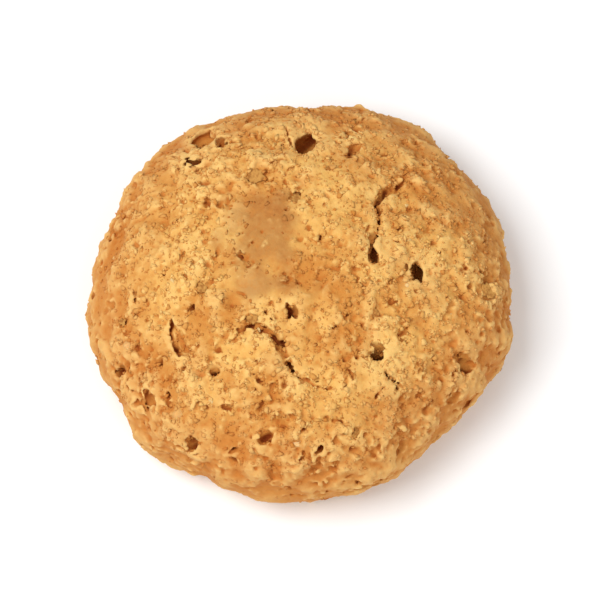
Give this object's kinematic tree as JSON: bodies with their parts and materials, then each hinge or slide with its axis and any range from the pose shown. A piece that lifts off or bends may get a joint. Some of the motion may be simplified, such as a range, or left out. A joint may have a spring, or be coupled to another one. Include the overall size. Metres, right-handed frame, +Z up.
{
  "type": "amaretti cookie",
  "caption": "Small round crisp almond biscuit with a flat underside and a domed, gritty crust that is pitted and cracked; rests on its underside.",
  "frame": {"origin": "centre of the bounding box in plan, on the flat underside, which is the surface that the cookie lies on", "axes": "+Z up through the dome, +X along the cookie's longest way across, +Y along the shorter way across"},
  "size_m": [0.0406, 0.0388, 0.0152],
  "materials": {
    "crust": "matt golden-tan baked crust, rough and porous, darker brown in its pits and cracks"
  },
  "bodies": {
    "root": {"cookie": "crust"}
  },
  "joints": []
}
